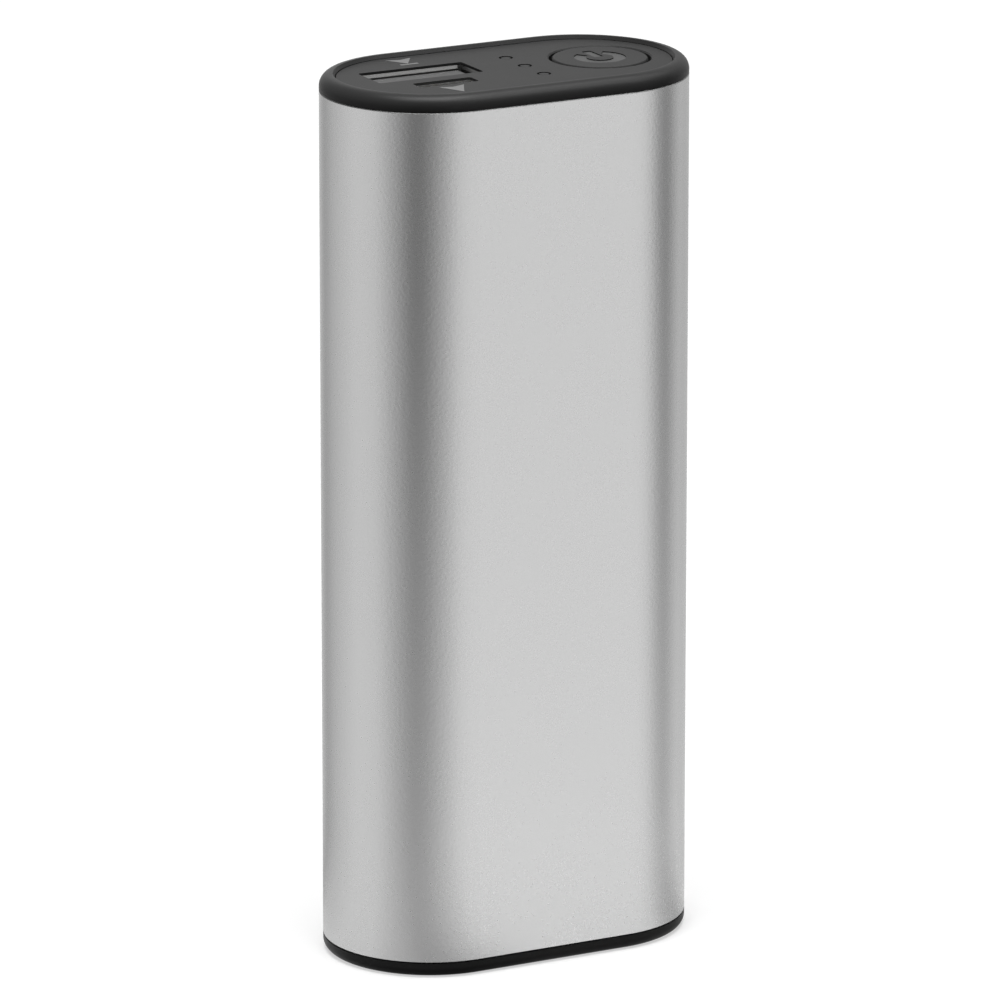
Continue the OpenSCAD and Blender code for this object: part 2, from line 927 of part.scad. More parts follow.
// One half of the cradle: wall, locating ribs, spine, deck, boss and board rails
module cradle_half(s) {
    difference() {
        union() {
            oval_ring(cradle_r, cradle_or, cradle_z, cradle_top);
            end_ribs();
            oval(cradle_r + touch, deck_z, bay_z);
            block([-1, s > 0 ? spine_y : -cradle_r - touch, snap_top + 1.5],
                  [1, s > 0 ? cradle_r + touch : -spine_y, deck_z + touch]);
            rod(0, s * screw_y, boss_r, cradle_top - boss_h, cradle_top);
            board_rails(s);
        }
        other_side(s);
        rod(0, s * screw_y, screw_r + touch, cradle_top - boss_h - over, cradle_top + over);
        snap_window(s);
        tail_slot(s);
        deck_slots();
    }
}

// Everything past the parting plane, as seen from one half
module other_side(s) {
    depth = 3 * cradle_or;
    translate([0, part_y - s * (depth - part_gap) / 2, (cradle_z + cradle_top) / 2])
        cube([4 * cradle_or + 2 * end_x, depth, cradle_top], center = true);
}

// Ribs round the two ends that centre the cradle in the tube
module end_ribs() {
    step = (cradle_top - cradle_z - rib_h) / (rib_n - 1);
    for (i = [0:rib_n - 1])
        difference() {
            oval_ring(cradle_r + cradle_t / 2, plug_r, cradle_z + i * step, cradle_z + i * step + rib_h);
            translate([0, 0, cradle_z + i * step + rib_h / 2])
                cube([2 * end_x + 1.2, 3 * tube_r, 2 * rib_h], center = true);
        }
}

// Ledges that grip the edges of the main board
module board_rails(s) {
    face = s > 0 ? board_back + touch : board_front - touch;
    intersection() {
        oval(cradle_r + touch, bay_z - touch, port_a_z - 0.6);
        union() {
            for (x = [-1, 1])
                block([x > 0 ? rail_x : -end_x - cradle_or, s > 0 ? face : -cradle_or, bay_z - touch],
                      [x > 0 ? end_x + cradle_or : -rail_x, s > 0 ? cradle_or : face, port_a_z - 0.6]);
        }
    }
}

// Window for a snap arm
module snap_window(s) {
    y0 = cradle_r - touch;
    block([-snap_w / 2 - 2 * seat, s > 0 ? y0 : -cradle_or - over, barb_z - seat],
          [snap_w / 2 + 2 * seat, s > 0 ? cradle_or + over : -y0, barb_z + barb_h + 2 * seat]);
}

// Slot for the heater tail
module tail_slot(s) {
    y0 = cradle_r - touch;
    block([tail_x - tail_w / 2 - slip, s > 0 ? y0 : -cradle_or - over, tail_z - film_t - slip],
          [tail_x + tail_w / 2 + slip, s > 0 ? cradle_or + over : -y0, tail_z + slip]);
}

// Slots in the deck for the strips that rise to the board
module deck_slots() {
    deck_slot(0, riser_y, riser_w, tab_t);
    deck_slot(top_riser_x, top_riser_y, riser_w, tab_t);
    deck_slot(0, -cutout_y, cutout_w, cutout_lead);
}

// Slot round one strip of a given middle, near face, width and thickness
module deck_slot(x, y, w, t) {
    block([x - w / 2 - slip, y - 2 * slip, deck_z - over],
          [x + w / 2 + slip, y + t + 2 * slip, bay_z + over]);
}

module cradle_front() {
    color([0.2, 0.2, 0.21])
        cradle_half(-1);
}

module cradle_back() {
    color([0.2, 0.2, 0.21])
        cradle_half(1);
}

// Can of a battery cell with the crimp and its groove at the positive end
module cell_can(x) {
    r = cell_d / 2;
    translate([x, 0, cell_z])
        rotate_extrude()
            polygon([
                [0, 0],
                [r - 0.6, 0],
                [r, 0.6],
                [r, groove_z - groove_h / 2],
                [r - groove_t, groove_z - 0.2],
                [r - groove_t, groove_z + 0.2],
                [r, groove_z + groove_h / 2],
                [r, crimp_z - 0.4],
                [r - 0.4, crimp_z],
                [r - crimp_w, crimp_z],
                [r - crimp_w, cap_seat_z],
                [0, cap_seat_z]
            ]);
}

module cell_left() {
    color([0.7, 0.71, 0.72])
        cell_can(-end_x);
}

module cell_right() {
    color([0.7, 0.71, 0.72])
        cell_can(end_x);
}

// Stepped positive caps, seated inside the crimps
module cell_caps() {
    r = cell_d / 2 - crimp_w - touch;
    color([0.78, 0.78, 0.79])
        for (s = [-1, 1])
            translate([s * end_x, 0, cell_z])
                rotate_extrude()
                    polygon([
                        [0, cap_seat_z + touch],
                        [r, cap_seat_z + touch],
                        [r, cap_step_z],
                        [pole_r + 0.4, cap_step_z],
                        [pole_r, cell_h - 0.8],
                        [pole_r, cell_h],
                        [0, cell_h]
                    ]);
}

// Insulating washers round the positive caps
module cell_rings() {
    color([0.9, 0.9, 0.88])
        for (s = [-1, 1])
            translate([s * end_x, 0, cell_z + crimp_z + touch])
                difference() {
                    cylinder(r = cell_d / 2 - 0.5, h = ring_t);
                    translate([0, 0, -over])
                        cylinder(r = pole_r + 0.5, h = ring_t + 2 * over);
                }
}

// Shrink sleeves of the two cells
module cell_sleeves() {
    color([0.15, 0.35, 0.6])
        for (s = [-1, 1])
            translate([s * end_x, 0, cell_z])
                difference() {
                    cylinder(r = sleeve_r, h = crimp_z - 0.4);
                    translate([0, 0, -over])
                        cylinder(r = cell_d / 2 + wrap_fit, h = cell_h + 2 * over);
                }
}

// Strip over the positive ends with a riser to the front of the main board
module top_tab() {
    color([0.8, 0.8, 0.78])
        difference() {
            union() {
                cell_strip(top_tab_z);
                block([top_riser_x - riser_w / 2, top_riser_y, top_tab_z],
                      [top_riser_x + riser_w / 2, top_riser_y + tab_t, board_z + top_lap]);
            }
            weld_slots(top_tab_z);
        }
}

// Strip under the cells with a riser between them to the back of the main board
module base_tab() {
    color([0.8, 0.8, 0.78])
        difference() {
            union() {
                cell_strip(base_tab_z);
                block([-riser_w / 2, 0, base_tab_z], [riser_w / 2, riser_y + tab_t, base_tab_z + tab_t]);
                block([-riser_w / 2, riser_y, base_tab_z],
                      [riser_w / 2, riser_y + tab_t, board_z + base_lap]);
                block([-riser_w / 2, board_back + touch, board_z + base_lap - tab_t],
                      [riser_w / 2, riser_y + tab_t, board_z + base_lap]);
            }
            weld_slots(base_tab_z);
        }
}

// Flat strip across both cell axes
module cell_strip(z) {
    translate([0, 0, z])
        linear_extrude(tab_t)
            plate2d(2 * end_x + tab_w, tab_w, 1);
}

// Slots that part the two weld points of each cell
module weld_slots(z) {
    for (s = [-1, 1])
        translate([s * (end_x + tab_w / 4), 0, z])
            cube([tab_w, 0.6, 4 * tab_t], center = true);
}

// Foam under the cells, notched round the snap arms
module cell_cushion() {
    color([0.25, 0.25, 0.25])
        difference() {
            oval(cradle_r - 4 * seat, cushion_z, cushion_z + cushion_t);
            for (s = [-1, 1])
                translate([0, s * cradle_r, cushion_z])
                    cube([snap_w + 6 * seat, 2 * (arm_t + 6 * seat), 4 * cushion_t], center = true);
        }
}

// Thermal cut-out on the front spine, with two flat leads to the board
module thermal_cutout() {
    color([0.85, 0.85, 0.82]) {
        block([-cutout_w / 2, touch - spine_y, cutout_z],
              [cutout_w / 2, touch - spine_y + cutout_t, cutout_z + cutout_h]);
        for (s = [-1, 1])
            translate([s * cutout_lead_x - cutout_lead_w / 2, 0, 0]) {
                block([0, -cutout_y, cutout_z + cutout_h - over],
                      [cutout_lead_w, -cutout_y + cutout_lead, board_z + lead_lap]);
                block([0, -cutout_y, board_z + lead_lap - cutout_lead],
                      [cutout_lead_w, board_front - touch, board_z + lead_lap]);
            }
    }
}

// Heater film against the tube, with a tail bent in to the board
module heater(s) {
    back = s > 0;
    y0 = back ? film_y : -film_y - film_t;
    y1 = y0 + film_t;
    board = back ? board_back + touch : board_front - touch;
    x0 = tail_x - tail_w / 2;
    x1 = tail_x + tail_w / 2;
    block([-heater_w / 2, y0, heater_z], [heater_w / 2, y1, heater_z + heater_h]);
    block([x0, y0, heater_z + heater_h - over], [x1, y1, tail_z]);
    block([x0, back ? board : y0, tail_z - film_t], [x1, back ? y1 : board, tail_z]);
}

module heater_front() {
    color([0.75, 0.45, 0.15])
        heater(-1);
}

module heater_back() {
    color([0.75, 0.45, 0.15])
        heater(1);
}

// Etched foil in up and down runs, with both ends led to the tail
module foil(s) {
    low = heater_z + foil_margin;
    top = heater_z + heater_h - foil_margin;
    high = top - lead_w - foil_margin;
    left = -foil_span / 2 - foil_w / 2;
    last = foil_n - 1;
    translate([0, s > 0 ? film_y : -film_y + foil_t, 0])
        rotate([90, 0, 0])
            linear_extrude(foil_t) {
                for (i = [0:last])
                    translate([left + i * foil_pitch, low])
                        square([foil_w, (i == 0 || i == last ? top : high) - low]);
                for (i = [0:last - 1])
                    translate([left + i * foil_pitch, i % 2 == 0 ? low : high - foil_w])
                        square([foil_pitch + foil_w, foil_w]);
                for (k = [-1, 1]) {
                    inner = tail_x + k * lead_w / 2;
                    translate([min(inner, k * (-left)), top - lead_w])
                        square([abs(k * (-left) - inner), lead_w]);
                    translate([k < 0 ? inner - lead_w : inner, top - lead_w])
                        square([lead_w, tail_z - over - top + lead_w]);
                }
            }
}

module foil_front() {
    color([0.8, 0.5, 0.3])
        foil(-1);
}

module foil_back() {
    color([0.8, 0.5, 0.3])
        foil(1);
}

// Insulating pad between the heater and the cradle
module pad(s) {
    half = heater_w / 2 + pad_over;
    y0 = s > 0 ? pad_y : -pad_y - pad_t;
    block([-half, y0, heater_z - pad_over], [half, y0 + pad_t, heater_z + heater_h + pad_over]);
}

module pad_front() {
    color([0.85, 0.82, 0.75])
        pad(-1);
}

module pad_back() {
    color([0.85, 0.82, 0.75])
        pad(1);
}

// Plain bottom cap with a skirt that cups the cells and two snap arms
module bottom_cap() {
    color([0.09, 0.09, 0.09])
        union() {
            translate([0, 0, base_rise])
                mirror([0, 0, 1])
                    oval_form()
                        round_edge2d(tube_or, base_rise, base_round);
            oval(plug_r, base_rise - touch, base_in);
            oval_ring(cradle_r, plug_r, base_in - touch, base_skirt_z);
            for (s = [-1, 1])
                snap_arm(s);
        }
}

// Arm rooted in the skirt, with a barb that catches in the cradle
module snap_arm(s) {
    block([-snap_w / 2, s > 0 ? arm_y - arm_t : -arm_y, base_in - touch],
          [snap_w / 2, s > 0 ? arm_y : arm_t - arm_y, snap_top]);
    block([-snap_w / 2, s > 0 ? arm_y - touch : -cradle_r - 2 * seat, base_in - touch],
          [snap_w / 2, s > 0 ? cradle_r + 2 * seat : touch - arm_y, base_skirt_z]);
    translate([-snap_w / 2, 0, 0])
        rotate([90, 0, 90])
            linear_extrude(snap_w)
                polygon([
                    [s * (arm_y - touch), barb_z],
                    [s * (cradle_r + barb_out), barb_z],
                    [s * (cradle_r + barb_out), barb_z + 0.4],
                    [s * (arm_y - touch), barb_z + barb_h]
                ]);
}

shell();
top_cap();
control_panel();
power_button();
light_guide();
status_leds();
key_board();
key_screws();
switch_case();
switch_cover();
switch_dome();
switch_plunger();
link_header();
main_board();
usb_a_shell();
usb_a_tongue();
usb_a_contacts();
micro_usb_shell();
micro_usb_tongue();
micro_usb_contacts();
power_coil();
capacitors();
board_chips();
cap_screws();
cradle_front();
cradle_back();
cell_left();
cell_right();
cell_caps();
cell_rings();
cell_sleeves();
top_tab();
base_tab();
cell_cushion();
thermal_cutout();
heater_front();
heater_back();
foil_front();
foil_back();
pad_front();
pad_back();
bottom_cap();
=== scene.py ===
import json
import math

import bmesh
import bpy
from mathutils import Matrix, Vector


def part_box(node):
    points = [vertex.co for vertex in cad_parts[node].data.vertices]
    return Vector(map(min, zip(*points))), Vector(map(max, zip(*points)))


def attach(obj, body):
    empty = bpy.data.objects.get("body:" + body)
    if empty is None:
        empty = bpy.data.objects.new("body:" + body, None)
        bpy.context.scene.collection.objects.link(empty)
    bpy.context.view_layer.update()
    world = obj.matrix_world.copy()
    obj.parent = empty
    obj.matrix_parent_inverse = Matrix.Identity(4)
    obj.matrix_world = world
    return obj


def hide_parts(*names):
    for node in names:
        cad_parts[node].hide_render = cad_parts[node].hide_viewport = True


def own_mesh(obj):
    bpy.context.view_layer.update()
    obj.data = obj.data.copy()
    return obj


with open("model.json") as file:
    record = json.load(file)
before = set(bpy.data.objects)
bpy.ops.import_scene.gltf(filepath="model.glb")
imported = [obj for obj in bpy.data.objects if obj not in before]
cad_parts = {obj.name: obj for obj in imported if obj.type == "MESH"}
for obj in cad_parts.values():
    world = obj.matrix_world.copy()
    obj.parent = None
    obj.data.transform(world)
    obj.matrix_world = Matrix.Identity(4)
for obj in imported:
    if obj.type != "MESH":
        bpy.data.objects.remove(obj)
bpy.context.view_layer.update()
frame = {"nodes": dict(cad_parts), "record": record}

MM = 0.001
# Points of a mesh that are nearer to each other than this, in metres, are one
SAME_POINT = 1e-7
nodes = frame["nodes"]


def corners(node):
    """A node's lowest and highest corner, in millimetres."""
    return [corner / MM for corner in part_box(node)]


def middle_x(node):
    """How far to the right of the object's middle a node's own middle is, in millimetres."""
    low, high = corners(node)
    return (low.x + high.x) / 2


# The tube's section: half circles at END_X to both sides, and flats between them
TUBE_HALF_W, TUBE_R, TUBE_TOP = corners("shell")[1]
END_X = TUBE_HALF_W - TUBE_R
WALL = 1.2

# The top: the panel's face, the button, and the three rods with a light under each
FACE_Z = corners("control_panel")[1].z
BUTTON_X = middle_x("power_button")
LED_X = middle_x("light_guide")
ROD_R = corners("light_guide")[1].x - LED_X
LED_PITCH = corners("light_guide")[1].y - ROD_R


class Term:
    """The output of a node. Sums and products of terms add Math nodes."""

    def __init__(self, graph, socket):
        self.graph, self.socket = graph, socket

    def __add__(self, other):
        return self.graph.maths("ADD", self, other)

    def __sub__(self, other):
        return self.graph.maths("SUBTRACT", self, other)

    def __rsub__(self, other):
        return self.graph.maths("SUBTRACT", other, self)

    def __mul__(self, other):
        return self.graph.maths("MULTIPLY", self, other)

    def __pow__(self, other):
        return self.graph.maths("POWER", self, other)

    def __gt__(self, other):
        return self.graph.maths("GREATER_THAN", self, other)

    def __lt__(self, other):
        return self.graph.maths("LESS_THAN", self, other)

    def __abs__(self):
        return self.graph.maths("ABSOLUTE", self)

    __radd__ = __add__
    __rmul__ = __mul__

    def least(self, other):
        return self.graph.maths("MINIMUM", self, other)

    def most(self, other):
        return self.graph.maths("MAXIMUM", self, other)

    def step(self, low, high):
        """0 below low, 1 above high, and smooth between them."""
        ends = {0: self, 1: low, 2: high, 3: 0.0, 4: 1.0}
        return self.graph.node("MapRange", {"interpolation_type": "SMOOTHSTEP"}, ends)

    def scaled(self, factors):
        """The place, stretched by factors."""
        return self.graph.node("VectorMath", {"operation": "MULTIPLY"}, {0: self, 1: factors})


class Graph:
    """The shader nodes of a material or of the room."""

    def __init__(self, tree):
        self.tree = tree

    def join(self, socket, value):
        if isinstance(value, Term):
            self.tree.links.new(value.socket, socket)
        elif socket.type == "RGBA":
            socket.default_value = (*value[:3], 1.0)
        else:
            socket.default_value = value

    def node(self, kind, settings, sockets, output=0):
        """A node of that kind: its settings first, then its sockets, and the output that is read."""
        made = self.tree.nodes.new("ShaderNode" + kind)
        for name, value in settings.items():
            if name == "stops":
                self.grade(made.color_ramp.elements, value)
            else:
                setattr(made, name, value)
        for name, value in sockets.items():
            self.join(made.inputs[name], value)
        return Term(self, made.outputs[output])

    def grade(self, ramp, stops):
        """Gives a ramp its greys, each at its place along it."""
        while len(ramp) < len(stops):
            ramp.new(1.0)
        for stop, (place, level) in zip(ramp, stops):
            stop.position, stop.color = place, (*grey(level), 1.0)

    def maths(self, operation, *values):
        return self.node("Math", {"operation": operation}, dict(enumerate(values)))

    def seen(self):
        """1 for what the camera sees, straight or in metal and glass, and 0 for what lights."""
        camera, gloss, glass = (self.node("LightPath", {}, {}, f"Is {ray} Ray")
                                for ray in ("Camera", "Glossy", "Transmission"))
        return camera.most(gloss).most(glass)


class Finish(Graph):
    """A material: a Principled shader with its fixed values, and the patterns that feed it."""

    def __init__(self, name, colour, roughness, metallic=0.0, **fixed):
        self.name, self.colour = name, colour
        self.material = bpy.data.materials.new(name)
        self.material.use_nodes = True
        super().__init__(self.material.node_tree)
        self.shader = self.tree.nodes["Principled BSDF"]
        self.send("Base Color", colour)
        self.send("Roughness", roughness)
        self.send("Metallic", metallic)
        for socket, value in fixed.items():
            self.send(socket.replace("_", " "), value)
        self.place = self.node("TexCoord", {}, {}, "Object").scaled((1 / MM, 1 / MM, 1 / MM))
        self.x, self.y, self.z = (self.node("SeparateXYZ", {}, {0: self.place}, axis) for axis in "XYZ")

    def send(self, name, value):
        self.join(self.shader.inputs[name], value)

    def mix(self, share, first, second):
        """The first colour where share is 0, the second where it is 1."""
        return self.node("Mix", {"data_type": "RGBA"}, {0: share, 6: first, 7: second}, 2)

    def grain(self, per_mm, detail=2.0, stretch=(1, 1, 1)):
        """Noise from 0 to 1 with so many grains to the millimetre."""
        sockets = {"Vector": self.place.scaled(stretch), "Scale": per_mm, "Detail": detail}
        return self.node("TexNoise", {}, sockets)

    def cells(self, per_mm):
        """Distance from scattered points, so many to the millimetre."""
        return self.node("TexVoronoi", {"feature": "F1"}, {"Vector": self.place, "Scale": per_mm})

    def shades(self, share, spread):
        """The finish's colour, darker to lighter by spread as share goes from 0 to 1."""
        low = tuple(c * (1 - spread) for c in self.colour)
        high = tuple(min(1.0, c * (1 + spread)) for c in self.colour)
        return self.mix(share, low, high)

    def relief(self, height, depth_mm):
        """Raises the surface by height, which goes from 0 to 1, times a depth."""
        bump = {"Height": height, "Distance": depth_mm * MM, "Strength": 1.0}
        self.send("Normal", self.node("Bump", {}, bump))


def grey(level):
    return (level, level, level)


def oval_radius(f):
    """Distance from the flat line between the two end centres of the section."""
    past_end = (abs(f.x) - END_X).most(0.0)
    return (past_end * past_end + f.y * f.y) ** 0.5


def blasted_tube():
    """Anodised over blasting outside, with the die's marks inside, and a rough sawn edge on top whose
    colour is darkened as painted shade.
    """
    f = Finish("tube_aluminium", grey(0.578), 0.28, metallic=1.0)
    edge_w = 0.17
    blast, dust, cloud = f.grain(2.6), f.grain(14.0, detail=1.0), f.grain(0.15)
    die_lines = f.grain(2.5, stretch=(1, 1, 0.01))
    inner_wall = oval_radius(f) < TUBE_R - 0.75 * WALL
    shaded_cut_edge = f.z > TUBE_TOP - edge_w
    skin = f.shades(blast * 0.6 + dust * 0.4, spread=0.012)
    # Painted shade: the sawn top edge is coloured dark grey to tone down the lamps' glint on it
    f.send("Base Color", f.mix(shaded_cut_edge, skin, grey(0.18)))
    rough = 0.245 + 0.03 * blast + 0.02 * cloud + 0.08 * inner_wall
    f.send("Roughness", rough + 0.25 * shaded_cut_edge)
    outside = (blast + 0.05 * dust) * (1 - inner_wall)
    inside = 0.5 * die_lines * inner_wall
    f.relief(outside + inside, depth_mm=0.018)
    return f


def moulded(name, colour, roughness, texture_mm, per_mm, spread=0.12, **fixed):
    """A plastic out of a spark-textured mould: a fine grain, and faint flow marks."""
    f = Finish(name, colour, roughness, **fixed)
    spark, flow = f.grain(per_mm, detail=3.0), f.grain(0.25, detail=1.0)
    f.send("Base Color", f.shades(spark * 0.7 + flow * 0.3, spread))
    f.send("Roughness", roughness - 0.05 + 0.06 * spark + 0.04 * flow)
    f.relief(spark, texture_mm)
    return f


def sheet_metal(name, colour, roughness, along, spread=0.08):
    """Plated or rolled strip with its drawing lines along one axis."""
    f = Finish(name, colour, roughness, metallic=1.0)
    stretch = tuple(0.04 if axis == along else 1.0 for axis in "xyz")
    lines, cloud = f.grain(9.0, stretch=stretch), f.grain(0.4)
    f.send("Base Color", f.shades(lines * 0.5 + cloud * 0.5, spread))
    f.send("Roughness", roughness - 0.06 + 0.08 * lines + 0.06 * cloud)
    f.relief(lines, depth_mm=0.002)
    return f


def socket_steel():
    """Plated sheet: darkened as painted shade for the inside of the large socket, and lighter as painted
    light on the small one in front of it.
    """
    # Painted shade: the sheet's own colour is kept dark so that the large socket's inside reads as shaded
    f = sheet_metal("sheet_steel", (0.19, 0.19, 0.188), 0.30, along="z")
    between_sockets, beside_sockets = -2.0, 0.0
    lines = f.grain(9.0, stretch=(1, 1, 0.04))
    small_socket_lit = (f.y < between_sockets) * (f.x < beside_sockets)
    # Painted light: the small socket's steel is made lighter so that its inside reads as lit
    painted_lit_steel = f.mix(lines, (0.60, 0.60, 0.595), (0.68, 0.68, 0.675))
    f.send("Base Color", f.mix(small_socket_lit, f.shades(lines, spread=0.08), painted_lit_steel))
    return f


def plated_screws():
    """Zinc, bluish with yellower clouds, over the marks of turning."""
    f = Finish("screw_steel", (0.60, 0.60, 0.61), 0.3, metallic=1.0)
    cloud, turned = f.grain(1.5), f.grain(10.0, detail=1.0, stretch=(0.2, 0.2, 1.0))
    f.send("Base Color", f.mix(cloud.step(0.4, 0.6), (0.60, 0.61, 0.63), (0.66, 0.62, 0.50)))
    f.send("Roughness", 0.26 + 0.12 * cloud)
    f.relief(turned, depth_mm=0.004)
    return f


def light_windows():
    """Clear rods, pale below the panel's face and darkened near it as painted shade, for the dark inside
    seen through them.
    """
    f = Finish("guide_clear", grey(0.036), 0.45, IOR=1.12)
    haze = f.grain(3.0)
    # Painted shade: near the face the rods are coloured dark for the shade inside seen through them
    near_face_shade = f.z.step(FACE_Z - 2.5, FACE_Z - 1.0)
    f.send("Base Color", f.mix(near_face_shade, (0.62, 0.64, 0.66), f.shades(haze, spread=0.15)))
    f.send("Roughness", 0.40 + 0.12 * haze)
    f.relief(haze, depth_mm=0.003)
    return f


def led_bodies():
    """Cream frames, each with a round window of yellow phosphor."""
    f = Finish("led_cream", (0.80, 0.77, 0.66), 0.35)
    dx = f.x - LED_X
    dy = abs(f.y).least(abs(abs(f.y) - LED_PITCH))
    outside_window = ((dx * dx + dy * dy) ** 0.5).step(0.20, 0.27)
    fleck = f.grain(8.0)
    phosphor = f.mix(fleck, (0.86, 0.62, 0.10), (0.92, 0.74, 0.20))
    f.send("Base Color", f.mix(outside_window, phosphor, f.shades(fleck, spread=0.05)))
    f.send("Roughness", 0.25 + 0.25 * outside_window)
    f.relief(fleck, depth_mm=0.002)
    return f


def printed_boards():
    """Green solder mask over copper tracks, which stand up a little."""
    f = Finish("board_green", (0.012, 0.085, 0.035), 0.28)
    brick = {"Color1": grey(1), "Color2": grey(0), "Mortar": grey(0.5), "Scale": 0.45,
             "Mortar Size": 0.05, "Vector": f.place}
    tracks = f.node("TexBrick", {}, brick, "Fac")
    weave = f.grain(2.0)
    copper = f.mix(tracks > 0.5, (0.010, 0.070, 0.030), (0.020, 0.135, 0.052))
    f.send("Base Color", f.mix(weave * 0.3, copper, (0.02, 0.11, 0.05)))
    f.send("Roughness", 0.24 + 0.14 * weave)
    f.relief(tracks * 0.8 + weave * 0.2, depth_mm=0.02)
    return f


def ferrite_coil():
    f = Finish("coil_grey", (0.075, 0.075, 0.08), 0.6)
    sinter, pits = f.grain(4.0, detail=4.0), f.cells(2.5)
    f.send("Base Color", f.shades(sinter, spread=0.3))
    f.send("Roughness", 0.5 + 0.25 * sinter)
    f.relief(sinter + pits, depth_mm=0.02)
    return f


def capacitor_cans():
    f = Finish("can_aluminium", (0.70, 0.70, 0.71), 0.25, metallic=1.0)
    scored, cloud = f.grain(6.0, detail=1.0, stretch=(1, 0.05, 1)), f.grain(0.6)
    f.send("Base Color", f.shades(cloud, spread=0.06))
    f.send("Roughness", 0.20 + 0.10 * scored + 0.05 * cloud)
    f.relief(scored, depth_mm=0.003)
    return f


def chip_epoxy():
    f = Finish("chip_black", (0.018, 0.018, 0.019), 0.5)
    laser, cloud = f.grain(8.0), f.grain(0.7)
    f.send("Base Color", f.shades(laser * 0.6 + cloud * 0.4, spread=0.3))
    f.send("Roughness", 0.42 + 0.2 * laser)
    f.relief(laser, depth_mm=0.006)
    return f


def cell_wrap():
    """Shrunk film, smooth on the sides and puckered at its two ends."""
    f = Finish("sleeve_blue", (0.03, 0.105, 0.30), 0.22, Coat_Weight=0.3)
    foot, head = (corner.z for corner in corners("cell_sleeves"))
    pucker = f.grain(1.3, stretch=(1, 1, 0.12))
    ends = (1 - f.z.step(foot + 0.6, foot + 2.0)) + f.z.step(head - 1.7, head - 0.4)
    ripple = f.grain(0.35, detail=1.0)
    f.send("Base Color", f.shades(ripple, spread=0.10))
    f.send("Roughness", 0.17 + 0.10 * ripple + 0.10 * ends)
    f.relief(ripple + pucker * ends, depth_mm=0.03)
    return f


def fibre(name, colour, per_mm, depth_mm):
    """Pressed fibre paper: matte, with its strands lying both ways."""
    f = Finish(name, colour, 0.85, Sheen_Weight=0.15)
    upright = f.grain(per_mm, detail=3.0, stretch=(1, 1, 0.12))
    level = f.grain(per_mm, detail=3.0, stretch=(0.12, 1, 1))
    felt = upright * 0.5 + level * 0.5
    f.send("Base Color", f.shades(felt, spread=0.10))
    f.send("Roughness", 0.75 + 0.2 * felt)
    f.relief(felt, depth_mm)
    return f


def foam():
    f = Finish("foam_grey", (0.045, 0.045, 0.047), 0.9)
    bubbles = f.cells(2.2)
    f.send("Base Color", f.shades(bubbles, spread=0.4))
    f.send("Roughness", 0.8 + 0.15 * bubbles)
    f.relief(bubbles, depth_mm=0.08)
    return f


def heater_film():
    f = Finish("film_amber", (0.46, 0.17, 0.018), 0.2, Coat_Weight=0.4)
    ripple, speck = f.grain(0.2, detail=1.0), f.grain(6.0)
    f.send("Base Color", f.shades(ripple * 0.7 + speck * 0.3, spread=0.18))
    f.send("Roughness", 0.15 + 0.14 * ripple)
    f.relief(ripple, depth_mm=0.05)
    return f


def etched_foil():
    """Rolled copper, tarnished in clouds."""
    f = Finish("foil_copper", (0.78, 0.36, 0.20), 0.3, metallic=1.0)
    rolled, tarnish = f.grain(7.0, stretch=(1, 1, 0.05)), f.grain(0.3, detail=3.0)
    f.send("Base Color", f.mix(tarnish.step(0.35, 0.7), (0.80, 0.40, 0.24), (0.62, 0.26, 0.13)))
    f.send("Roughness", 0.22 + 0.1 * rolled + 0.12 * tarnish)
    f.relief(rolled, depth_mm=0.003)
    return f


def printed_ink():
    f = Finish("mark_print", grey(0.15), 0.5, IOR=1.2)
    ink = f.grain(9.0)
    f.send("Base Color", f.shades(ink, spread=0.12))
    f.send("Roughness", 0.42 + 0.16 * ink)
    f.relief(ink, depth_mm=0.002)
    return f


# One finish for each slot of the record, and two of the scene's own: the ink and the sign's floor
finishes = {f.name: f.material for f in (
    blasted_tube(),
    moulded("cap_black", grey(0.024), 0.36, texture_mm=0.004, per_mm=6.0, IOR=1.18),
    moulded("panel_dark", grey(0.031), 0.42, texture_mm=0.004, per_mm=5.0, IOR=1.12),
    moulded("button_dark", grey(0.031), 0.42, texture_mm=0.003, per_mm=6.0, IOR=1.12),
    light_windows(),
    led_bodies(),
    printed_boards(),
    plated_screws(),
    moulded("switch_black", (0.014, 0.014, 0.015), 0.35, texture_mm=0.002, per_mm=7.0),
    moulded("tongue_grey", grey(0.043), 0.5, texture_mm=0.004, per_mm=6.0),
    socket_steel(),
    moulded("header_black", (0.012, 0.012, 0.013), 0.45, texture_mm=0.003, per_mm=6.0),
    sheet_metal("contact_gold", (0.85, 0.60, 0.24), 0.22, along="z"),
    ferrite_coil(),
    capacitor_cans(),
    chip_epoxy(),
    moulded("cradle_grey", (0.055, 0.055, 0.06), 0.5, texture_mm=0.01, per_mm=3.0),
    sheet_metal("cell_can", (0.62, 0.63, 0.64), 0.24, along="z", spread=0.05),
    fibre("ring_white", (0.78, 0.78, 0.74), per_mm=4.0, depth_mm=0.01),
    cell_wrap(),
    sheet_metal("nickel_strip", (0.66, 0.64, 0.59), 0.32, along="x"),
    foam(),
    moulded("cutout_white", (0.72, 0.72, 0.68), 0.3, texture_mm=0.003, per_mm=4.0, spread=0.04),
    heater_film(),
    etched_foil(),
    fibre("pad_cream", (0.66, 0.61, 0.50), per_mm=3.0, depth_mm=0.03),
    printed_ink(),
    moulded("sign_floor", grey(0.078), 0.45, texture_mm=0.003, per_mm=6.0, IOR=1.12),
)}

for part in frame["record"]["subparts"]:
    slots = nodes[part["node"]].data.materials
    slots.clear()
    slots.append(finishes[part["material_slot"]])


